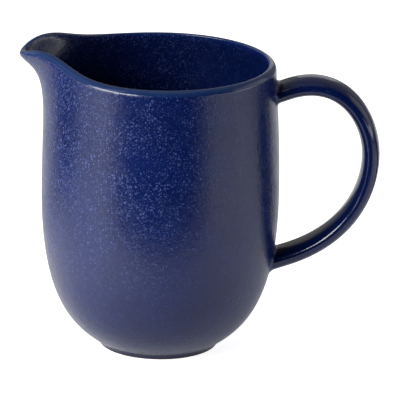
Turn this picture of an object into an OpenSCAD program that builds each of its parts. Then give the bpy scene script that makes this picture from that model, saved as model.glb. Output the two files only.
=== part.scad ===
// Ceramic pitcher: round-bellied stoneware jug with a pulled pouring lip and a strap handle.
// Millimetres, +Z up. The origin is the middle of the foot, on the surface that the pitcher
// stands on. The pouring lip points along -X and the handle along +X.

/* [Foot] */
// Outer radius of the foot ring where it stands
foot_r = 34.5; // [30:0.5:35]
// Height of the foot ring
foot_h = 3; // [2:0.5:5]
// Width of the bare clay ring that touches the table, with its rounded edges
foot_band = 6; // [4:0.5:9]
// Radius of the foot ring's bottom edges
foot_round = 0.8; // [0.3:0.1:1.5]

/* [Body] */
// Radius of the crease where the bowl meets the foot ring
crease_r = 36; // [35:0.5:45]
// Slope of the bowl just above the crease, in degrees from the table
bowl_angle = 34; // [20:1:50]
// How far the bowl follows that slope before it turns up
bowl_reach = 17; // [8:1:24]
// How far below the widest point the side is already upright
belly_reach = 64.5; // [40:0.5:70]
// Outer radius at the widest point
belly_r = 68.5; // [60:0.5:80]
// Height of the widest point
belly_z = 91; // [80:1:110]
// How far above the widest point the side stays upright
wall_reach = 36; // [15:1:45]
// Outer radius at the rim
rim_r = 65.4; // [58:0.1:72]
// Height of the rim at the sides
rim_z = 169; // [150:1:200]
// Thickness of the wall
wall = 4.6; // [3.5:0.1:7]
// Thickness of the floor inside the foot ring
floor_t = 6; // [4:0.5:10]

/* [Rim] */
// Inward lean of the side just below the rim, in degrees
rim_lean = 1.7; // [0:0.1:5]
// Length over which the side keeps that lean
rim_reach = 11; // [6:1:20]
// Height over which the rim rounds off on the outside
lip_drop = 4; // [2:0.5:6]
// Radius of the rim's inner edge
lip_inner_r = 1; // [0.8:0.1:2]

/* [Pouring lip] */
// How far the lip reaches out past the rim
spout_out = 17.2; // [8:0.2:26]
// Half width of the lip's channel, in degrees around the rim
spout_half_angle = 19.3; // [14:0.1:26]
// Depth below the rim at which the channel has lost half its reach
spout_depth = 10; // [7:0.5:16]
// How sharply the channel fades below that depth
spout_fade = 2.4; // [1.8:0.1:3.5]
// How far the rim rises on both sides of the lip
shoulder_rise = 13; // [5:0.5:18]
// Half width of the raised stretch of rim, in degrees
shoulder_half_angle = 36.5; // [28:0.5:45]
// Depth below the rim over which the rise fades away
shoulder_depth = 20; // [14:1:30]
// How far the channel dips below its shoulders
spout_dip = 7.7; // [3:0.1:10]
// Half width of that dip, in degrees
spout_dip_half_angle = 12.1; // [9:0.1:18]

/* [Handle] */
// Height at which the handle's middle line leaves the wall at the top
handle_top_z = 151; // [140:0.2:155]
// Slope of the upper end, in degrees above level
handle_top_angle = 28; // [10:0.5:32]
// How far the upper end follows that slope before it turns over
handle_top_reach = 38.5; // [30:0.5:42]
// Distance of the handle's middle line from the pitcher's axis at its outermost point
handle_out_x = 120.6; // [110:0.2:130]
// Height of that outermost point
handle_out_z = 115.7; // [108:0.1:120]
// How far the grip stays upright above the outermost point
grip_reach_up = 25.5; // [18:0.5:32]
// How far the grip stays upright below the outermost point
grip_reach_down = 22; // [16:0.5:30]
// Height at which the middle line meets the wall at the bottom
handle_low_z = 52.4; // [48:0.1:60]
// Slope of the lower end, in degrees above level
handle_low_angle = 14.7; // [6:0.1:22]
// How far the lower end follows that slope before it turns up
handle_low_reach = 44; // [32:0.5:48]
// Width of the strap
strap_w = 24; // [16:0.5:28]
// Thickness of the strap at the grip
strap_t = 10.3; // [8:0.1:13]
// Thickness of the strap at its upper end
strap_t_top = 10.7; // [9:0.1:14]
// Thickness of the strap at its lower end
strap_t_low = 11.2; // [9:0.1:15]
// Squareness of the strap's section: 2 is an ellipse, more is squarer
strap_square = 2.3; // [2:0.1:3]

/* [Slip joints] */
// Thickness of the slip that sticks each handle end to the wall
slip_t = 1; // [0.5:0.1:1.5]
// Radius of the smoothed fillet of slip around each handle end
slip_fillet = 2.2; // [1.6:0.1:4]

/* [Smoothness] */
// Segments around the body
around_n = 80; // [48:8:88]
// Segments around the handle's section
section_n = 32; // [16:4:36]

/* [Hidden] */

GLAZE = [0.11, 0.16, 0.37];
FOOT = [0.16, 0.18, 0.30];
SLIP = [0.20, 0.24, 0.42];

BOWL_N = 10;        // profile steps up the outside of the bowl
SIDE_N = 12;        // profile steps from the widest point to the rim
LIP_N = 3;          // profile steps round each edge of the rim
INNER_BOWL_N = 8;   // profile steps down the inside of the bowl
CROWD = 20;         // how far the segments crowd towards the pouring lip, in degrees
HANDLE_N = 46;      // rings along the handle
ROOT = 0.035;       // share of the centre line that runs straight into the wall at each end
FILLET_N = 5;       // steps round the slip fillet
SLIP_EDGE = 0.2;    // thickness at which the slip fillet stops
CAP_RINGS = 4;      // rings across each end face of the handle

inner_r = belly_r - wall;
inner_reach = 0.75 * belly_reach;
floor_z = foot_h + floor_t;
floor_bend_r = inner_r - 10;
floor_flat_r = crease_r - 16;
lip_outer_r = wall - lip_inner_r;

// ---- curves in the plane [distance from the axis, height] ----

function curve_at(c, t) =
    pow(1 - t, 3) * c[0] + 3 * pow(1 - t, 2) * t * c[1] + 3 * (1 - t) * t * t * c[2] + t * t * t * c[3];
function curve_slope(c, t) =
    3 * pow(1 - t, 2) * (c[1] - c[0]) + 6 * (1 - t) * t * (c[2] - c[1]) + 3 * t * t * (c[3] - c[2]);
function heading(angle) = [cos(angle), sin(angle)];

bowl_curve = [
    [crease_r, foot_h],
    [crease_r, foot_h] + bowl_reach * heading(bowl_angle),
    [belly_r, belly_z - belly_reach],
    [belly_r, belly_z]
];
side_curve = [
    [belly_r, belly_z],
    [belly_r, belly_z + wall_reach],
    [rim_r, rim_z - lip_drop] - rim_reach * heading(90 + rim_lean),
    [rim_r, rim_z - lip_drop]
];
inner_side_curve = [
    [rim_r - wall, rim_z - lip_inner_r],
    [rim_r - wall, rim_z - lip_inner_r] - rim_reach * heading(90 + rim_lean),
    [inner_r, belly_z + wall_reach],
    [inner_r, belly_z]
];
inner_bowl_curve = [
    [inner_r, belly_z],
    [inner_r, belly_z - inner_reach],
    [floor_bend_r, floor_z],
    [floor_flat_r, floor_z]
];

// The whole profile: up the outside, over the rim and down the inside to the floor.
profile = concat(
    [for (i = [0 : BOWL_N - 1]) curve_at(bowl_curve, i / BOWL_N)],
    [for (i = [0 : SIDE_N]) curve_at(side_curve, i / SIDE_N)],
    [for (i = [1 : LIP_N])
        [rim_r - lip_outer_r * (1 - cos(90 * i / LIP_N)), rim_z - lip_drop * (1 - sin(90 * i / LIP_N))]],
    [for (i = [1 : LIP_N])
        [rim_r - lip_outer_r - lip_inner_r * sin(90 * i / LIP_N),
         rim_z - lip_inner_r * (1 - cos(90 * i / LIP_N))]],
    [for (i = [1 : SIDE_N]) curve_at(inner_side_curve, i / SIDE_N)],
    [for (i = [1 : INNER_BOWL_N]) curve_at(inner_bowl_curve, i / INNER_BOWL_N)]
);

// ---- the pouring lip, pulled out of the round profile ----

// A bell curve: 1 in the middle of the lip, falling off around the rim.
function bell(angle, half_angle) = exp(-pow(angle / half_angle, 2));
// 1 at the rim and above, fading to 0 further down.
function fade(depth, half_depth, sharpness) = 1 / (1 + pow(max(depth, 0) / half_depth, sharpness));

// Moves a profile point to its place around the axis; angle is counted from the pouring lip.
function body_point(p, angle) =
    let (
        depth = rim_z - p[1],
        pull = spout_out * bell(angle, spout_half_angle) * fade(depth, spout_depth, spout_fade),
        lift = (shoulder_rise * bell(angle, shoulder_half_angle)
            - spout_dip * bell(angle, spout_dip_half_angle)) * fade(depth, shoulder_depth, 4),
        r = p[0] + pull
    )
    [-r * cos(angle), -r * sin(angle), p[1] + lift];

// Angles around the body, from -180 to 180, closer together at the pouring lip.
function around_angle(i) =
    let (even = 360 * i / around_n - 180)
    even - CROWD * sin(even);

// ---- meshes made of closed rings ----

function reversed(list) = [for (i = [len(list) - 1 : -1 : 0]) list[i]];

// Faces of a stack of rings with n points each, closed by one middle point at each end.
function ring_faces(rings, n) = concat(
    [for (i = [0 : n - 1]) [0, 1 + i, 1 + (i + 1) % n]],
    [for (k = [0 : rings - 2], i = [0 : n - 1])
        let (a = 1 + k * n + i, b = 1 + k * n + (i + 1) % n)
        each [[a, a + n, b], [b, a + n, b + n]]],
    [for (i = [0 : n - 1])
        [1 + rings * n, 1 + (rings - 1) * n + (i + 1) % n, 1 + (rings - 1) * n + i]]
);

// A closed solid from a stack of rings; inward is true where the rings turn the other way.
module ring_solid(first, rings, last, inward = false) {
    faces = ring_faces(len(rings), len(rings[0]));
    polyhedron(
        points = concat([first], [for (ring = rings) each ring], [last]),
        faces = inward ? [for (face = faces) reversed(face)] : faces,
        convexity = 8
    );
}

// ---- the outside of the wall, which the handle's ends follow ----

// Share t of a curve at height z, found by halving; the curve rises all the way.
function share_at(c, z, low = 0, high = 1, steps = 16) =
    steps == 0 ? (low + high) / 2
    : let (t = (low + high) / 2)
      curve_at(c, t)[1] < z ? share_at(c, z, t, high, steps - 1) : share_at(c, z, low, t, steps - 1);
function wall_r(z) =
    z < belly_z ? curve_at(bowl_curve, share_at(bowl_curve, z))[0]
    : curve_at(side_curve, share_at(side_curve, z))[0];

// Slides point p along direction d until it is gap away from the wall.
function to_wall(p, d, gap, steps = 5) =
    steps == 0 ? p
    : let (x = sqrt(pow(wall_r(p[2]) + gap, 2) - p[1] * p[1]))
      to_wall(p + d * (x - p[0]) / d[0], d, gap, steps - 1);

// ---- handle ----

upper_curve = [
    [rim_r, handle_top_z],
    [rim_r, handle_top_z] + handle_top_reach * heading(handle_top_angle),
    [handle_out_x, handle_out_z + grip_reach_up],
    [handle_out_x, handle_out_z]
];
lower_curve = [
    [handle_out_x, handle_out_z],
    [handle_out_x, handle_out_z - grip_reach_down],
    [rim_r, handle_low_z] + handle_low_reach * heading(handle_low_angle),
    [rim_r, handle_low_z]
];

// Middle line of the strap and its direction, s running from 0 at the top to 1 at the bottom.
function strap_mid(s) = s < 0.5 ? curve_at(upper_curve, 2 * s) : curve_at(lower_curve, 2 * s - 1);
function strap_slope(s) = s < 0.5 ? curve_slope(upper_curve, 2 * s) : curve_slope(lower_curve, 2 * s - 1);
function strap_thickness(s) =
    strap_t + ((s < 0.5 ? strap_t_top : strap_t_low) - strap_t) * pow(2 * s - 1, 2);
function rounded(v) = sign(v) * pow(abs(v), 2 / strap_square);

// Point of the strap's section at s: a is the angle round the section, spread pushes the
// outline out by that many millimetres and scale shrinks it towards the middle line.
function strap_point(s, a, spread = 0, scale = 1) =
    let (
        m = strap_mid(s),
        d = strap_slope(s) / norm(strap_slope(s)),
        up = (strap_thickness(s) / 2 + spread) * rounded(cos(a)) * scale,
        side = (strap_w / 2 + spread) * rounded(sin(a)) * scale
    )
    [m[0] - d[1] * up, side, m[1] + d[0] * up];

function section_angle(i) = -360 * i / section_n;

// A ring of the root at share s, carried straight onto the wall and stopped gap before it.
function root_ring(s, gap, spread = 0, scale = 1) =
    let (
        slope = strap_slope(s),
        d = [slope[0], 0, slope[1]]
    )
    [for (i = [0 : section_n - 1]) to_wall(strap_point(s, section_angle(i), spread, scale), d, gap)];
function root_middle(s, gap) =
    let (slope = strap_slope(s))
    to_wall(strap_point(s, 0, 0, 0), [slope[0], 0, slope[1]], gap);
// The rings of an end face, from its middle outwards.
function root_face(s, gap, spread = 0) =
    [for (k = [1 : CAP_RINGS]) root_ring(s, gap, spread, k / CAP_RINGS)];

module handle() {
    rings = concat(
        root_face(ROOT, slip_t),
        [for (k = [0 : HANDLE_N])
            let (s = ROOT + (1 - 2 * ROOT) * k / HANDLE_N)
            [for (i = [0 : section_n - 1]) strap_point(s, section_angle(i))]],
        reversed(root_face(1 - ROOT, slip_t))
    );
    color(GLAZE)
        ring_solid(root_middle(ROOT, slip_t), rings, root_middle(1 - ROOT, slip_t));
}

// Slip between one handle end and the wall, with its fillet around the strap.
module slip_joint(s) {
    curl = slip_fillet - SLIP_EDGE;
    fillet = [for (k = [0 : FILLET_N])
        let (a = 90 * k / FILLET_N)
        root_ring(s, SLIP_EDGE + curl * (1 - cos(a)), SLIP_EDGE + curl * (1 - sin(a)))];
    rings = concat(root_face(s, 0, slip_fillet), fillet, [root_ring(s, slip_fillet)],
        reversed(root_face(s, slip_t)));
    first = root_middle(s, 0);
    last = root_middle(s, slip_t);
    if (s < 0.5) ring_solid(last, reversed(rings), first, inward = true);
    else ring_solid(first, rings, last, inward = true);
}

module upper_slip_joint() { color(SLIP) slip_joint(ROOT); }
module lower_slip_joint() { color(SLIP) slip_joint(1 - ROOT); }

// ---- body and foot ----

module body() {
    rings = [for (p = profile) [for (i = [0 : around_n - 1]) body_point(p, around_angle(i))]];
    color(GLAZE)
        ring_solid([0, 0, foot_h], rings, [0, 0, floor_z]);
}

module foot_ring() {
    inner = foot_r - foot_band;
    color(FOOT)
        rotate_extrude($fn = 120)
            polygon(concat(
                [[inner, foot_h]],
                [for (a = [180 : 30 : 270]) [inner + foot_round, foot_round] + foot_round * heading(a)],
                [for (a = [270 : 30 : 360]) [foot_r - foot_round, foot_round] + foot_round * heading(a)],
                [[crease_r, foot_h]]
            ));
}

body();
foot_ring();
handle();
upper_slip_joint();
lower_slip_joint();
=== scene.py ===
import math

import bpy
import numpy as np
from mathutils import Matrix, Vector


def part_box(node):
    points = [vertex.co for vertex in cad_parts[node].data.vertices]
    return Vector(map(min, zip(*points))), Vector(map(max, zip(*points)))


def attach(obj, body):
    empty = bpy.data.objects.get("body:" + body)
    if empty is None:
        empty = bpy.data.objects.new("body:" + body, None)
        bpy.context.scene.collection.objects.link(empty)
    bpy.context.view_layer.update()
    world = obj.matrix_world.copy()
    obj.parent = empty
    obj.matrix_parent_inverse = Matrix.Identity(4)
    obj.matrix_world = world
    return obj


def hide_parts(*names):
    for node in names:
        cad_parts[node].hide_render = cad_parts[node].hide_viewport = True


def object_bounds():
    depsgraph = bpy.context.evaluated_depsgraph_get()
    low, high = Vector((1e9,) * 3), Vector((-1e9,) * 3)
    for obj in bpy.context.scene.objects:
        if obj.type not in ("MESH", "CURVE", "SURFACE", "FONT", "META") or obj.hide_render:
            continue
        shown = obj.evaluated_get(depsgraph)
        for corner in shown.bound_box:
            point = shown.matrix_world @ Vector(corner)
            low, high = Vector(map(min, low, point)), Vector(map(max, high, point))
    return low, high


# Ceramic pitcher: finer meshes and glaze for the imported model, in metres, in its frame.
# The pouring lip points along -X and the handle along +X.

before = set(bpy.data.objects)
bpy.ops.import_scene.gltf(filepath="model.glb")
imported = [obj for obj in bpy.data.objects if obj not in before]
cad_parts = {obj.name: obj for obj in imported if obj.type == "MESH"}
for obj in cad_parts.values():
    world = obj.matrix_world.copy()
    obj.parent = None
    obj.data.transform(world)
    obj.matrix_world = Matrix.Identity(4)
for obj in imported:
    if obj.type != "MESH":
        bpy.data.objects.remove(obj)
cad_low, cad_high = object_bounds()

MM = 0.001

# ---- dimensions, from the imported model where it gives them ----

_, foot_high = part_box("foot_ring")
_, body_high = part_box("body")
strap_low, strap_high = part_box("handle")

FOOT_H = foot_high.z
CREASE_R = foot_high.x
FOOT_UNDERCUT = 1.5 * MM
FOOT_R = CREASE_R - FOOT_UNDERCUT
FOOT_BAND = 6 * MM
FOOT_ROUND = 0.8 * MM

BELLY_R = body_high.y
BELLY_Z = 91 * MM
BOWL_ANGLE = 34
BOWL_REACH = 17 * MM
BELLY_REACH = 64.5 * MM
WALL_REACH = 36 * MM
INNER_BELLY_SHARE = 0.75
WALL = 4.6 * MM
FLOOR_T = 6 * MM
FLOOR_Z = FOOT_H + FLOOR_T
FLOOR_BEND_R = BELLY_R - WALL - 10 * MM
FLOOR_FLAT_R = CREASE_R - 16 * MM

RIM_R = 65.4 * MM
RIM_Z = 169 * MM
RIM_LEAN = 1.7
RIM_REACH = 11 * MM
LIP_DROP = 4 * MM
LIP_INNER_R = 1 * MM
LIP_OUTER_R = WALL - LIP_INNER_R

# Depths below the rim over which the glaze turns from thin to full, and over which the painted shade
# inside the vessel deepens.
THIN_OUTSIDE = (1.6 * MM, 3.6 * MM)
THIN_INSIDE = (0.3 * MM, 1.2 * MM)
SHADE_DEEPENS_INSIDE = (0.5 * MM, 6 * MM)

# The spout's reach and the shoulders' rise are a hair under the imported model's, so that
# the finer mesh stays inside its box.
SPOUT_OUT = 17.19 * MM
SPOUT_HALF_ANGLE = 19.3
SPOUT_DEPTH = 10 * MM
SPOUT_FADE = 2.4
SHOULDER_RISE = 12.95 * MM
SHOULDER_HALF_ANGLE = 36.5
SHOULDER_DEPTH = 20 * MM
SHOULDER_FADE = 4
SPOUT_DIP = 7.7 * MM
SPOUT_DIP_HALF_ANGLE = 12.1

HANDLE_TOP = (RIM_R, 151 * MM)
HANDLE_TOP_ANGLE = 28
HANDLE_TOP_REACH = 38.5 * MM
HANDLE_OUT = (120.6 * MM, 115.7 * MM)
GRIP_REACH_UP = 25.5 * MM
GRIP_REACH_DOWN = 22 * MM
HANDLE_LOW = (RIM_R, 52.4 * MM)
HANDLE_LOW_ANGLE = 14.7
HANDLE_LOW_REACH = 44 * MM
STRAP_W = strap_high.y - strap_low.y
STRAP_T = 10.3 * MM
STRAP_T_TOP = 10.7 * MM
STRAP_T_LOW = 11.2 * MM
STRAP_SQUARE = 2.3
# Share of the strap's length, at either end, that lies within the wall and the slip
ROOT = 0.035
SLIP_T = 1 * MM
SLIP_FILLET = 2.2 * MM

# ---- how finely the meshes are cut ----

BOWL_N = 44
SIDE_N = 56
RIM_N = 25
FLOOR_N = 36
AROUND_N = 320
# How far the points are drawn towards the lip, in degrees
CROWD = 20
FOOT_EDGE_N = 7
STRAP_RINGS = 220
SECTION_N = 96
FILLET_N = 14
WALL_CURVE_N = 400
SLIDE_STEPS = 6
SHARP_ANGLE = 50


# ---- curves in the plane (distance from the axis, height) ----

def heading(angle):
    return np.array([math.cos(math.radians(angle)), math.sin(math.radians(angle))])


def curve(points, t):
    """Points of a cubic Bezier curve at the shares t."""
    a, b, c, d = np.array(points, float)
    t = np.asarray(t, float)[..., None]
    return (1 - t) ** 3 * a + 3 * (1 - t) ** 2 * t * b + 3 * (1 - t) * t**2 * c + t**3 * d


def curve_slope(points, t):
    a, b, c, d = np.array(points, float)
    t = np.asarray(t, float)[..., None]
    return 3 * (1 - t) ** 2 * (b - a) + 6 * (1 - t) * t * (c - b) + 3 * t**2 * (d - c)


CREASE = np.array([CREASE_R, FOOT_H])
RIM_OUT = np.array([RIM_R, RIM_Z - LIP_DROP])
RIM_IN = np.array([RIM_R - WALL, RIM_Z - LIP_INNER_R])
LEAN = RIM_REACH * heading(90 + RIM_LEAN)
INNER_R = BELLY_R - WALL

BOWL = [
    CREASE, CREASE + BOWL_REACH * heading(BOWL_ANGLE),
    (BELLY_R, BELLY_Z - BELLY_REACH), (BELLY_R, BELLY_Z),
]
SIDE = [(BELLY_R, BELLY_Z), (BELLY_R, BELLY_Z + WALL_REACH), RIM_OUT - LEAN, RIM_OUT]
INNER_SIDE = [RIM_IN, RIM_IN - LEAN, (INNER_R, BELLY_Z + WALL_REACH), (INNER_R, BELLY_Z)]
INNER_BOWL = [
    (INNER_R, BELLY_Z), (INNER_R, BELLY_Z - INNER_BELLY_SHARE * BELLY_REACH),
    (FLOOR_BEND_R, FLOOR_Z), (FLOOR_FLAT_R, FLOOR_Z),
]


def rim_edge(turn):
    """The rounded rim: turn runs from 0, outside, through 1, on top, to 2, inside."""
    a = np.radians(90 * np.minimum(turn, 1))
    b = np.radians(90 * np.maximum(turn - 1, 0))
    r = RIM_R - LIP_OUTER_R * (1 - np.cos(a)) - LIP_INNER_R * np.sin(b)
    z = RIM_Z - LIP_DROP * (1 - np.sin(a)) - LIP_INNER_R * (1 - np.cos(b))
    return np.stack([r, z], axis=-1)


# ---- the pouring lip, pulled out of the round profile ----

def bell(angle, half_angle):
    return np.exp(-((angle / half_angle) ** 2))


def fade(depth, half_depth, sharpness):
    return 1 / (1 + (np.maximum(depth, 0) / half_depth) ** sharpness)


def around(profile, angle):
    """Carries a profile round the axis, with the lip; angle is counted from the lip, in degrees."""
    r, z = profile[:, None, 0], profile[:, None, 1]
    angle = angle[None, :]
    depth = RIM_Z - z
    pull = SPOUT_OUT * bell(angle, SPOUT_HALF_ANGLE) * fade(depth, SPOUT_DEPTH, SPOUT_FADE)
    rise = SHOULDER_RISE * bell(angle, SHOULDER_HALF_ANGLE)
    lift = rise - SPOUT_DIP * bell(angle, SPOUT_DIP_HALF_ANGLE)
    r = r + pull
    z = z + lift * fade(depth, SHOULDER_DEPTH, SHOULDER_FADE)
    turn = np.radians(angle)
    return np.stack([-r * np.cos(turn), -r * np.sin(turn), z + 0 * turn], axis=-1)


def around_angles():
    even = 360 * np.arange(AROUND_N) / AROUND_N - 180
    return even - CROWD * np.sin(np.radians(even))


# ---- meshes ----

def ring_mesh(name, rings, first=None, last=None):
    """A smooth closed mesh: a stack of rings with a middle point at each end, or closed on itself."""
    count, n = rings.shape[:2]
    verts = rings.reshape(-1, 3)
    i = np.arange(n)
    following = (i + 1) % n
    faces = []
    on_itself = first is None
    for k in range(count if on_itself else count - 1):
        a, b, up = k * n + i, k * n + following, (k + 1) % count * n
        faces += np.stack([a, up + i, up + following, b], axis=1).tolist()
    if not on_itself:
        verts = np.vstack([verts, first, last])
        top = (count - 1) * n
        faces += np.stack([np.full(n, count * n), i, following], axis=1).tolist()
        faces += np.stack([np.full(n, count * n + 1), top + following, top + i], axis=1).tolist()
    mesh = bpy.data.meshes.new(name)
    mesh.from_pydata(verts.tolist(), [], faces)
    mesh.validate()
    mesh.polygons.foreach_set("use_smooth", [True] * len(mesh.polygons))
    mesh.set_sharp_from_angle(angle=math.radians(SHARP_ANGLE))
    piece = bpy.data.objects.new(name, mesh)
    bpy.context.scene.collection.objects.link(piece)
    return piece


def smooth_step(value, low, high):
    share = np.clip((value - low) / (high - low), 0, 1)
    return share * share * (3 - 2 * share)


def thin_glaze(profile):
    """1 where the glaze has run thin over the rim, 0 elsewhere."""
    outside = profile[:, 0] > RIM_R - LIP_OUTER_R
    depth = RIM_Z - profile[:, 1]
    full = np.where(outside, smooth_step(depth, *THIN_OUTSIDE), smooth_step(depth, *THIN_INSIDE))
    return 1 - full


def shade_inside_share(profile):
    """0 on the outside of the vessel, 1 on the inside below the rim: where shade is painted inside
    the vessel.
    """
    past_top = np.arange(len(profile)) > np.argmax(profile[:, 1])
    return past_top * smooth_step(RIM_Z - profile[:, 1], *SHADE_DEEPENS_INSIDE)


def mark(piece, name, along, ends):
    """Stores a share for each point: one for each ring of the profile, and for both end points."""
    shares = np.append(np.repeat(along, AROUND_N), ends)
    attribute = piece.data.attributes.new(name, "FLOAT", "POINT")
    attribute.data.foreach_set("value", shares.astype(np.float32))


def make_body():
    profile = np.vstack([
        curve(BOWL, np.linspace(0, 1, BOWL_N)),
        curve(SIDE, np.linspace(0, 1, SIDE_N))[1:],
        rim_edge(np.linspace(0, 2, RIM_N))[1:],
        curve(INNER_SIDE, np.linspace(0, 1, SIDE_N))[1:],
        curve(INNER_BOWL, np.linspace(0, 1, FLOOR_N))[1:],
    ])
    rings = around(profile, around_angles())
    piece = ring_mesh("glazed_body", rings, (0, 0, FOOT_H), (0, 0, FLOOR_Z))
    mark(piece, "thin_glaze", thin_glaze(profile), (0, 0))
    # Marks where shade is painted inside the vessel.
    mark(piece, "inside", shade_inside_share(profile), (0, 1))
    return piece


def make_foot():
    turns = np.linspace(0, 90, FOOT_EDGE_N)
    inner_r = FOOT_R - FOOT_BAND
    inner_middle = np.array([inner_r + FOOT_ROUND, FOOT_ROUND])
    outer_middle = np.array([FOOT_R - FOOT_ROUND, FOOT_ROUND])
    inner_edge = [inner_middle + FOOT_ROUND * heading(180 + t) for t in turns]
    outer_edge = [outer_middle + FOOT_ROUND * heading(270 + t) for t in turns]
    profile = np.array([(inner_r, FOOT_H), *inner_edge, *outer_edge, (CREASE_R, FOOT_H)])
    turn = 2 * np.pi * np.arange(AROUND_N) / AROUND_N
    r, z = profile[:, None, 0], profile[:, None, 1]
    rings = np.stack([-r * np.cos(turn), -r * np.sin(turn), z + 0 * turn], axis=-1)
    return ring_mesh("foot_ring_turned", rings)


# ---- handle ----

UPPER = [
    HANDLE_TOP, HANDLE_TOP + HANDLE_TOP_REACH * heading(HANDLE_TOP_ANGLE),
    (HANDLE_OUT[0], HANDLE_OUT[1] + GRIP_REACH_UP), HANDLE_OUT,
]
LOWER = [
    HANDLE_OUT, (HANDLE_OUT[0], HANDLE_OUT[1] - GRIP_REACH_DOWN),
    HANDLE_LOW + HANDLE_LOW_REACH * heading(HANDLE_LOW_ANGLE), HANDLE_LOW,
]


def strap_line(s):
    """Middle point and direction of the strap at s, from 0 at its top end to 1 at its bottom end."""
    part, t = (UPPER, 2 * s) if s < 0.5 else (LOWER, 2 * s - 1)
    slope = curve_slope(part, t)
    return curve(part, t), slope / np.linalg.norm(slope)


def section(s, spread=0.0):
    """The strap's outline at s, pushed out by spread."""
    middle, along = strap_line(s)
    thick = STRAP_T + ((STRAP_T_TOP if s < 0.5 else STRAP_T_LOW) - STRAP_T) * (2 * s - 1) ** 2
    a = 2 * np.pi * np.arange(SECTION_N) / SECTION_N
    bend = 2 / STRAP_SQUARE
    up = (thick / 2 + spread) * np.sign(np.cos(a)) * np.abs(np.cos(a)) ** bend
    side = (STRAP_W / 2 + spread) * np.sign(np.sin(a)) * np.abs(np.sin(a)) ** bend
    return np.stack([middle[0] - along[1] * up, side, middle[1] + along[0] * up], axis=-1)


WALL_CURVE = np.vstack([
    curve(BOWL, np.linspace(0, 1, WALL_CURVE_N)),
    curve(SIDE, np.linspace(0, 1, WALL_CURVE_N))[1:],
])


def to_wall(points, s, gap):
    """Slides points along the strap's direction at s until they are gap away from the wall."""
    along = strap_line(s)[1]
    for _ in range(SLIDE_STEPS):
        wall = np.interp(points[:, 2], WALL_CURVE[:, 1], WALL_CURVE[:, 0]) + gap
        move = (np.sqrt(wall**2 - points[:, 1] ** 2) - points[:, 0]) / along[0]
        points = points + move[:, None] * np.array([along[0], 0, along[1]])
    return points


def root_middle(s, gap):
    return to_wall(section(s).mean(axis=0)[None, :], s, gap)[0]


def make_handle():
    rings = [section(s) for s in np.linspace(ROOT, 1 - ROOT, STRAP_RINGS)]
    rings.insert(0, to_wall(rings[0], ROOT, SLIP_T))
    rings.append(to_wall(rings[-1], 1 - ROOT, SLIP_T))
    ends = root_middle(1 - ROOT, SLIP_T), root_middle(ROOT, SLIP_T)
    return ring_mesh("strap_handle", np.array(rings)[::-1], *ends)


def make_joint(name, s):
    """The smoothed slip between a handle end and the wall."""
    rings = []
    for a in np.linspace(0, math.pi / 2, FILLET_N):
        spread = SLIP_FILLET * (1 - math.sin(a))
        rings.append(to_wall(section(s, spread), s, SLIP_FILLET * (1 - math.cos(a))))
    rings.append(to_wall(section(s), s, SLIP_T))
    ends = [root_middle(s, 0), root_middle(s, SLIP_T)]
    if s < 0.5:
        rings.reverse()
        ends.reverse()
    return ring_mesh(name, np.array(rings), *ends)


# ---- materials ----

NAVY = (0.0024, 0.0118, 0.095, 1)
NAVY_DEEP = (0.0016, 0.0092, 0.078, 1)
STEEL_BLUE = (0.011, 0.036, 0.135, 1)
# The two pale speck colours are partly the glaze's own specks and partly painted glints of the key
# light.
SPECK_AND_GLINT = (0.070, 0.110, 0.34, 1)
FINE_SPECK_AND_GLINT = (0.10, 0.16, 0.44, 1)
# Darker navy: the glaze darker low down, on the handle and on the foot, and painted shade inside the
# vessel.
DARK_NAVY_AND_SHADE = (0.0008, 0.003, 0.024, 1)
PINHOLE = (0.0005, 0.001, 0.004, 1)
CLAY = (0.42, 0.33, 0.24, 1)
CLAY_DARK = (0.30, 0.22, 0.15, 1)

# Three sizes of specks: cell, smallest radius, largest radius, softness, colour, height.
SPECKS = (
    (1.5 * MM, 0.2 * MM, 0.95 * MM, 0.85, SPECK_AND_GLINT, 0.10 * MM),
    (1.15 * MM, 0.15 * MM, 0.6 * MM, 0.8, SPECK_AND_GLINT, 0.10 * MM),
    (0.85 * MM, 0.1 * MM, 0.42 * MM, 0.8, FINE_SPECK_AND_GLINT, 0.05 * MM),
)
# Pinholes: cell, smallest radius, largest radius, softness.
PINHOLES = (3 * MM, 0.15 * MM, 0.42 * MM, 0.5)
PINHOLE_DEPTH = 0.05 * MM
# The least that a speck shows, and how much the small ones outnumber the large ones
FAINTEST = 0.3
SMALL_ONES = 1.6

# Unevenness of the surface: size, detail, height.
SWELLS = (4 * MM, 2, 0.16 * MM)
RIPPLES = (1.3 * MM, 3, 0.11 * MM)

# Sizes of the clouds of colour, the patches of gloss and of specks, and the breaks at the rim.
CLOUD = 30 * MM
GLOSS_PATCH = 9 * MM
SPECK_PATCH = 17 * MM
RIM_PATCH = 6 * MM
# The part of the noise's range that the clouds and the gloss follow
CLOUDY = (0.3, 0.7)

# Where the specks thin out: between patches, towards the foot, and towards the handle, away from the
# key light, where the painted glints fade.
BETWEEN_PATCHES = (0.3, 0.52)
FOOTWARD = (25 * MM, 110 * MM)
SPECKS_AND_GLINTS_FADE_TO_HANDLE = (-15 * MM, 50 * MM)
FEW_BETWEEN = 0.35
FEW_LOW = 0.2
FEW_SPECKS_AND_GLINTS_AT_HANDLE = 0.3

# Height over which the glaze turns from darker, low down, to the full colour.
DARKER_UP_TO = (5 * MM, 75 * MM)

# How much darker the glaze is low down, how deep the painted shade inside the vessel is, and how much
# darker the glaze is on the handle and on the foot.
DARKER_LOW_DOWN = 0.4
PAINTED_SHADE_INSIDE = 0.55
DARKER_ON_HANDLE = 0.4
DARKER_ON_FOOT = 0.6

SATIN = (0.21, 0.28)
GLOSSY = (0.10, 0.14)
RIM_ROUGHNESS = 0.15
RIM_BUMP = 0.15
HANDLE_BUMP = 0.35
CLAY_ROUGHNESS = 0.85
GLAZE_IOR = 1.5

# How much of the thin glaze's colour shows where the rim's glaze breaks.
RIM_BREAKS = (0.25, 0.6)
RIM_LEAST = 0.55

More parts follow.
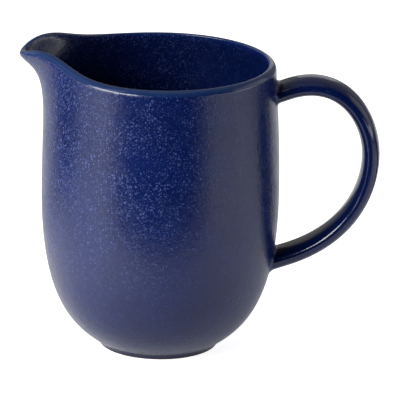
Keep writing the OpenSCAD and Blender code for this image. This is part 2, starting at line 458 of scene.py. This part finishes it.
# The ragged end of the glaze on the foot: size of its waves, its heights, and how soft it is.
RAGGED = 3 * MM
RAGGED_HIGH = 0.55 * MM
RAGGED_LOW = 0.05 * MM
RAGGED_SOFT = 0.12 * MM
CLAY_GRAIN = 0.8 * MM


def new_material(name):
    material = bpy.data.materials.new(name)
    material.use_nodes = True
    tree = material.node_tree
    return material, tree, tree.nodes["Principled BSDF"]


def add_node(tree, kind, inputs, **settings):
    """A node whose inputs are each a fixed value or another node's output."""
    made = tree.nodes.new(kind)
    for name, value in settings.items():
        setattr(made, name, value)
    for name, value in inputs.items():
        if isinstance(value, bpy.types.NodeSocket):
            tree.links.new(value, made.inputs[name])
        else:
            made.inputs[name].default_value = value
    return made


def coordinates(tree):
    return add_node(tree, "ShaderNodeTexCoord", {}).outputs["Object"]


def axis(tree, where, name):
    return add_node(tree, "ShaderNodeSeparateXYZ", {"Vector": where}).outputs[name]


def noise(tree, where, size, detail):
    """Smooth noise from 0 to 1 with features of about that size, in metres."""
    inputs = {"Vector": where, "Scale": 1 / size, "Detail": detail}
    return add_node(tree, "ShaderNodeTexNoise", inputs).outputs[0]


def smooth(tree, value, low, high, start=0.0, end=1.0):
    """Takes value from low..high to start..end in a smooth step."""
    inputs = {"Value": value, "From Min": low, "From Max": high, "To Min": start, "To Max": end}
    made = add_node(tree, "ShaderNodeMapRange", inputs, interpolation_type="SMOOTHSTEP")
    return made.outputs["Result"]


def math_node(tree, operation, a, b):
    return add_node(tree, "ShaderNodeMath", {0: a, 1: b}, operation=operation).outputs[0]


def product(tree, a, b):
    return math_node(tree, "MULTIPLY", a, b)


def mix(tree, share, a, b):
    """Colour a where share is 0, and b where it is 1."""
    inputs = {"Fac": share, "Color1": a, "Color2": b}
    return add_node(tree, "ShaderNodeMixRGB", inputs).outputs["Color"]


def between(tree, share, a, b):
    """Number a where share is 0, and b where it is 1."""
    inputs = {"Value": share, "To Min": a, "To Max": b}
    return add_node(tree, "ShaderNodeMapRange", inputs).outputs["Result"]


def marked(tree, name):
    return add_node(tree, "ShaderNodeAttribute", {}, attribute_name=name).outputs["Fac"]


def bump(tree, height, depth, strength, under=None):
    """Normal with bumps of that depth, in metres, where height is 1, on top of the normal under."""
    inputs = {"Height": height, "Distance": depth, "Strength": strength}
    if under is not None:
        inputs["Normal"] = under
    return add_node(tree, "ShaderNodeBump", inputs).outputs["Normal"]


def dots(tree, where, cell, smallest, largest, soft):
    """Round specks, one in each cell at most, with radii between those two, in metres.

    Gives how much of the speck's colour shows, and how far it stands up, both from 0 to 1.
    """
    cells = add_node(tree, "ShaderNodeTexVoronoi", {"Vector": where, "Scale": 1 / cell})
    luck = add_node(tree, "ShaderNodeSeparateColor", {"Color": cells.outputs["Color"]})
    size = math_node(tree, "POWER", luck.outputs["Red"], SMALL_ONES)
    radius = smooth(tree, size, 0, 1, smallest / cell, largest / cell)
    reach = math_node(tree, "DIVIDE", cells.outputs["Distance"], radius)
    speck = smooth(tree, reach, 1 - soft, 1, 1, 0)
    shown = product(tree, speck, smooth(tree, luck.outputs["Green"], 0, 1, FAINTEST, 1))
    dome = smooth(tree, reach, 0, 1, 1, 0)
    raised = product(tree, dome, product(tree, radius, cell / largest))
    return shown, raised


def specks_and_glints_crowd(tree, where):
    """Where the specks crowd: in patches, less towards the foot, and less towards the handle, away
    from the key light, where the painted glints fade.
    """
    patches = smooth(tree, noise(tree, where, SPECK_PATCH, 3), *BETWEEN_PATCHES, FEW_BETWEEN, 1)
    upper = smooth(tree, axis(tree, where, "Z"), *FOOTWARD, FEW_LOW, 1)
    # Painted glints: fewer pale specks towards the handle side, away from the key light.
    lit_lip_side = smooth(tree, axis(tree, where, "X"), *SPECKS_AND_GLINTS_FADE_TO_HANDLE, 1, FEW_SPECKS_AND_GLINTS_AT_HANDLE)
    return product(tree, patches, product(tree, upper, lit_lip_side))


def glaze_nodes(tree, where, strength, gloss=SATIN):
    """Navy glaze, clouded, darker towards the bottom and specked, with a few pinholes: its colour,
    roughness and normal. The specks' pale colour is partly the glaze's own and partly painted glints.
    """
    cloudy = smooth(tree, noise(tree, where, CLOUD, 3), *CLOUDY)
    colour = mix(tree, cloudy, NAVY_DEEP, NAVY)
    low = smooth(tree, axis(tree, where, "Z"), *DARKER_UP_TO, DARKER_LOW_DOWN, 0)
    colour = mix(tree, low, colour, DARK_NAVY_AND_SHADE)
    normal = None
    for size, detail, depth in (SWELLS, RIPPLES):
        normal = bump(tree, noise(tree, where, size, detail), depth, strength, normal)
    crowd = specks_and_glints_crowd(tree, where)
    # The specks' pale colour is partly painted glints of the key light.
    for cell, smallest, largest, soft, tint, depth in SPECKS:
        shown, raised = dots(tree, where, cell, smallest, largest, soft)
        colour = mix(tree, product(tree, shown, crowd), colour, tint)
        normal = bump(tree, product(tree, raised, crowd), depth, strength, normal)
    holes, deep = dots(tree, where, *PINHOLES)
    colour = mix(tree, product(tree, holes, crowd), colour, PINHOLE)
    normal = bump(tree, product(tree, deep, -1.0), PINHOLE_DEPTH, strength, normal)
    roughness = smooth(tree, noise(tree, where, GLOSS_PATCH, 3), *CLOUDY, *gloss)
    return colour, roughness, normal


def wire(tree, shader, colour, roughness, normal):
    tree.links.new(colour, shader.inputs["Base Color"])
    tree.links.new(roughness, shader.inputs["Roughness"])
    tree.links.new(normal, shader.inputs["Normal"])
    shader.inputs["IOR"].default_value = GLAZE_IOR


def glaze_material():
    """The glaze on the vessel: thin, pale and glossy over the rim, with painted shade inside."""
    material, tree, shader = new_material("navy_glaze")
    where = coordinates(tree)
    thin = marked(tree, "thin_glaze")
    colour, satin, normal = glaze_nodes(tree, where, smooth(tree, thin, 0, 1, 1, RIM_BUMP))
    # Painted shade inside the vessel's hollow, deepening below the rim.
    dark = smooth(tree, marked(tree, "inside"), 0, 1, 0, PAINTED_SHADE_INSIDE)
    colour = mix(tree, dark, colour, DARK_NAVY_AND_SHADE)
    uneven = smooth(tree, noise(tree, where, RIM_PATCH, 3), *RIM_BREAKS, RIM_LEAST, 1)
    colour = mix(tree, product(tree, thin, uneven), colour, STEEL_BLUE)
    wire(tree, shader, colour, between(tree, thin, satin, RIM_ROUGHNESS), normal)
    return material


def handle_material():
    """The same glaze, smoother, glossier and darker, as it runs on the strap."""
    material, tree, shader = new_material("navy_glaze_on_handle")
    colour, glossy, normal = glaze_nodes(tree, coordinates(tree), HANDLE_BUMP, GLOSSY)
    wire(tree, shader, mix(tree, DARKER_ON_HANDLE, colour, DARK_NAVY_AND_SHADE), glossy, normal)
    return material


def foot_material():
    """Glaze down the foot's side that stops in a ragged line above the bare resting face."""
    material, tree, shader = new_material("foot_glaze_and_clay")
    where = coordinates(tree)
    colour, satin, normal = glaze_nodes(tree, where, 1.0)
    colour = mix(tree, DARKER_ON_FOOT, colour, DARK_NAVY_AND_SHADE)
    ragged = between(tree, noise(tree, where, RAGGED, 3), RAGGED_HIGH, RAGGED_LOW)
    above = math_node(tree, "SUBTRACT", axis(tree, where, "Z"), ragged)
    bare = smooth(tree, above, 0, RAGGED_SOFT, 1, 0)
    clay = mix(tree, noise(tree, where, CLAY_GRAIN, 4), CLAY, CLAY_DARK)
    colour = mix(tree, bare, colour, clay)
    wire(tree, shader, colour, between(tree, bare, satin, CLAY_ROUGHNESS), normal)
    return material


# ---- the pitcher ----

glaze = glaze_material()
handle_glaze = handle_material()
foot_glaze = foot_material()

PIECES = (
    (make_body(), "body", "glaze", glaze),
    (make_foot(), "foot_ring", "foot", foot_glaze),
    (make_handle(), "handle", "glaze", handle_glaze),
    (make_joint("slip_joint_upper", ROOT), "upper_slip_joint", "glazed_slip", glaze),
    (make_joint("slip_joint_lower", 1 - ROOT), "lower_slip_joint", "glazed_slip", glaze),
)
for piece, cad_node, slot, material in PIECES:
    piece.data.materials.append(material)
    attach(piece, "root")
    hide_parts(cad_node)

# ---- camera ----

CAMERA_AZIMUTH = 1.0
CAMERA_ELEVATION = 17.53
CAMERA_ROLL = -1.03
CAMERA_DISTANCE = 2.5
CAMERA_LENS = 389.7
CAMERA_NEAR, CAMERA_FAR = 0.1, 20
FRAMING = Vector((0.9 * MM, 0.4 * MM, -3.1 * MM))


def towards(azimuth, elevation):
    """Direction from the pitcher: azimuth 0 is the front, 90 the right and 180 the back."""
    turn, tilt = math.radians(azimuth), math.radians(elevation)
    across = math.cos(tilt)
    return Vector((math.sin(turn) * across, -math.cos(turn) * across, math.sin(tilt)))


def add_camera():
    target = (cad_low + cad_high) / 2 + FRAMING
    look = -towards(CAMERA_AZIMUTH, CAMERA_ELEVATION)
    data = bpy.data.cameras.new("camera")
    data.lens = CAMERA_LENS
    data.clip_start, data.clip_end = CAMERA_NEAR, CAMERA_FAR
    camera = bpy.data.objects.new("camera", data)
    bpy.context.scene.collection.objects.link(camera)
    camera.matrix_world = (
        Matrix.Translation(target - CAMERA_DISTANCE * look)
        @ look.to_track_quat("-Z", "Y").to_matrix().to_4x4()
        @ Matrix.Rotation(-math.radians(CAMERA_ROLL), 4, "Z")
    )
    bpy.context.scene.camera = camera


add_camera()

# ---- floor and light ----

FLOOR_HALF = 3.0
FLOOR_COLOUR = (0.8, 0.8, 0.8, 1)
FLOOR_ROUGHNESS = 0.6
FLOOR_GLOW = 0.58
WHITE = (1, 1, 1, 1)

# Pools of light on the floor: middle, radius where it is full, radius where it ends, strength.
POOLS = (
    ((0, 0), 0.16, 0.3, 0.25),
    ((-0.27, -0.14), 0.12, 0.32, 0.75),
    ((-0.3, -0.45), 0.1, 0.35, 0.5),
    ((0.52, -0.23), 0.16, 0.55, 0.63),
    ((0, 0.9), 0.5, 1.0, 0.49),
)

FLAG_HEIGHT = 1 * MM
FLAG_BLACK = (0.01, 0.01, 0.01, 1)


def plane_mesh(name, corners):
    mesh = bpy.data.meshes.new(name)
    mesh.from_pydata(corners, [], [tuple(range(len(corners)))])
    plane = bpy.data.objects.new(name, mesh)
    bpy.context.scene.collection.objects.link(plane)
    return plane


def pool(tree, where, middle, full, end, strength):
    """A soft round pool of light on the floor."""
    away = add_node(tree, "ShaderNodeVectorMath", {0: where, 1: (*middle, 0)}, operation="DISTANCE")
    return smooth(tree, away.outputs["Value"], full, end, strength, 0)


def add_floor():
    """Pale floor that glows faintly, as a lit table does, with pools of light all round."""
    a = FLOOR_HALF
    floor = plane_mesh("floor", [(-a, -a, 0), (a, -a, 0), (a, a, 0), (-a, a, 0)])
    material, tree, shader = new_material("pale_floor")
    where = coordinates(tree)
    seen = add_node(tree, "ShaderNodeLightPath", {}).outputs["Is Camera Ray"]
    glow = product(tree, seen, FLOOR_GLOW)
    for shape in POOLS:
        glow = math_node(tree, "ADD", glow, pool(tree, where, *shape))
    tree.links.new(glow, shader.inputs["Emission Strength"])
    shader.inputs["Emission Color"].default_value = WHITE
    shader.inputs["Base Color"].default_value = FLOOR_COLOUR
    shader.inputs["Roughness"].default_value = FLOOR_ROUGHNESS
    floor.data.materials.append(material)


def add_flag(name, azimuth, straight, faded, near, full):
    """A soft-edged black card on the floor, hidden from the camera, that darkens a reflection.

    It fans out towards azimuth from near, in metres away, and is full black from full onwards.
    It is black up to straight to either side, and clear from faded, both in metres per metre away.
    """
    z = FLAG_HEIGHT
    narrow, wide = faded * near, faded * FLOOR_HALF
    flag = plane_mesh(name, [
        (-narrow, -near, z), (-wide, -FLOOR_HALF, z), (wide, -FLOOR_HALF, z), (narrow, -near, z),
    ])
    flag.rotation_euler.z = math.radians(azimuth)
    flag.visible_camera = False
    flag.visible_shadow = False
    material, tree, shader = new_material(name + "_black")
    where = coordinates(tree)
    across, along = axis(tree, where, "X"), axis(tree, where, "Y")
    slant = math_node(tree, "DIVIDE", across, along)
    middle = smooth(tree, math_node(tree, "ABSOLUTE", slant, 0.0), straight, faded, 1, 0)
    away = smooth(tree, along, -full, -near, 1, 0)
    tree.links.new(product(tree, middle, away), shader.inputs["Alpha"])
    shader.inputs["Base Color"].default_value = FLAG_BLACK
    shader.inputs["Specular IOR Level"].default_value = 0
    flag.data.materials.append(material)


add_floor()
add_flag("flag_front", 0, 0.6, 1.2, 0.2, 0.34)
add_flag("flag_left", -100, 0.08, 0.35, 0.36, 0.5)
add_flag("flag_right", 124, 0.04, 0.2, 0.17, 0.34)

LIGHT_DISTANCE = 1.5
AIM = Vector((0, 0, 90 * MM))


def add_softbox(name, azimuth, elevation, width, height, brightness):
    """An area light aimed at the pitcher."""
    away = towards(azimuth, elevation)
    data = bpy.data.lights.new(name, "AREA")
    data.shape = "RECTANGLE"
    data.size, data.size_y = width, height
    data.energy = math.pi * width * height * brightness
    light = bpy.data.objects.new(name, data)
    bpy.context.scene.collection.objects.link(light)
    light.location = AIM + LIGHT_DISTANCE * away
    light.rotation_euler = away.to_track_quat("Z", "Y").to_euler()
    light.visible_camera = False


add_softbox("key_low", -61, 4.5, 1.0, 0.26, 2.7)
add_softbox("key_low_wide", -52, 4.5, 1.5, 0.22, 0.6)
add_softbox("key_low_left", -85, 4.5, 0.7, 0.26, 1.0)
add_softbox("key_core", -46, 25, 1.15, 0.38, 14.0)
add_softbox("key_strip", -57, 36, 0.2, 1.8, 2.0)
add_softbox("key_high", -82, 45, 1.5, 0.6, 0.3)
add_softbox("left_behind", -118, 20, 0.8, 1.0, 0.55)
add_softbox("behind_left", -163, 16, 0.5, 0.8, 0.1)
add_softbox("right_low_front", 61, 4.5, 0.85, 0.24, 2.1)
add_softbox("right_low", 88, 4.5, 0.7, 0.24, 2.7)
add_softbox("right_side", 105, 20, 1.3, 0.9, 0.6)
add_softbox("behind", 173, 14, 0.5, 0.4, 0.6)
add_softbox("overhead", 0, 88, 1.0, 1.0, 0.2)


WALLS_GLOW = 0.22
WALLS_BLEND = 0.3


def add_studio_world():
    """Dim pale walls behind the pitcher, and a dark room behind the camera."""
    world = bpy.data.worlds.new("studio")
    bpy.context.scene.world = world
    world.use_nodes = True
    tree = world.node_tree
    sky = tree.nodes["Background"]
    where = add_node(tree, "ShaderNodeTexCoord", {}).outputs["Generated"]
    ahead = axis(tree, where, "Y")
    walls = add_node(tree, "ShaderNodeMapRange", {
        "Value": ahead, "From Min": -WALLS_BLEND, "From Max": WALLS_BLEND, "To Max": WALLS_GLOW,
    })
    tree.links.new(walls.outputs["Result"], sky.inputs["Strength"])
    sky.inputs["Color"].default_value = WHITE


add_studio_world()

bpy.context.scene.view_settings.view_transform = "Standard"
